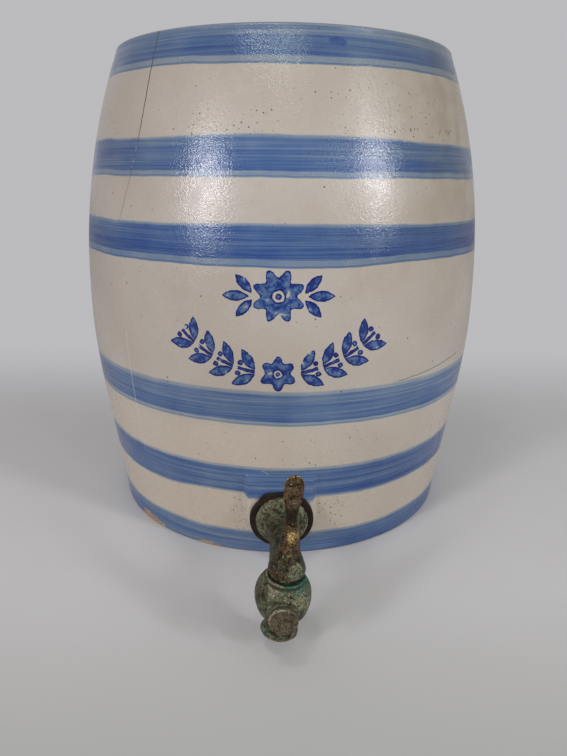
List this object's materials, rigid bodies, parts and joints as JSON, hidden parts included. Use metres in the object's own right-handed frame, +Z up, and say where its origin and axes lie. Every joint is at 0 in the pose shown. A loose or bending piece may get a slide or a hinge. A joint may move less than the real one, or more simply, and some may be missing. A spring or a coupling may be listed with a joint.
{
  "type": "stoneware water cooler with lever tap",
  "caption": "Barrel-shaped glazed stoneware drink dispenser with blue brushed bands, a lift-off lid and a self-closing bronze lever tap clamped through a pad near the foot.",
  "frame": {"origin": "centre of the jar's flat base, on the surface that it stands on", "axes": "+Z up through the jar's axis, -Y out of the jar's front along the tap's shank, +X to the right of someone facing the tap"},
  "size_m": [0.3, 0.3935, 0.3521],
  "materials": {
    "jar_glaze": "glossy cream salt glaze with brushed cobalt bands and iron specks",
    "lid_glaze": "glossy cream salt glaze with a brushed cobalt band",
    "tap_bronze": "weathered bronze with green verdigris",
    "cap_bronze": "worn brown bronze",
    "lever_bronze": "worn brown bronze, bright on its ridge",
    "brass": "dull turned brass",
    "steel": "plain steel",
    "black_rubber": "aged matt rubber",
    "red_rubber": "matt rubber",
    "fibre": "pressed fibre sheet"
  },
  "bodies": {
    "jar": {"jar_body": "jar_glaze", "tap_body": "tap_bronze", "bonnet": "tap_bronze", "front_cap": "cap_bronze", "outer_washer": "black_rubber", "inner_washer": "black_rubber", "metal_washer": "brass", "lock_nut": "brass", "valve_seat": "brass", "return_spring": "steel", "lever_pin": "steel", "front_cap_gasket": "fibre", "bonnet_gasket": "fibre"},
    "lid": {"lid": "lid_glaze"},
    "lever": {"lever": "lever_bronze"},
    "plunger": {"plunger": "brass", "disc_cup": "brass", "valve_disc": "red_rubber", "disc_screw": "steel"}
  },
  "joints": [
    {"name": "lid_lift", "type": "slide", "parent": "jar", "child": "lid", "axis": [0, 0, 1], "range_m": [0, 0.15]},
    {"name": "lever_press", "type": "hinge", "parent": "jar", "child": "lever", "pos_m": [0.00157, -0.22245, 0.04972], "axis": [-0.9954, 0, 0.0958], "range_deg": [0, 12], "stiffness_Nm_per_rad": 0.43, "springref_deg": -13.18},
    {"name": "plunger_slide", "type": "slide", "parent": "jar", "child": "plunger", "axis": [0, -1, 0], "range_m": [0, 0.0036], "deforming": ["return_spring"]}
  ],
  "couplings": [
    {"joint": "plunger_slide", "follows": "lever_press", "m_per_rad": 0.0164}
  ]
}
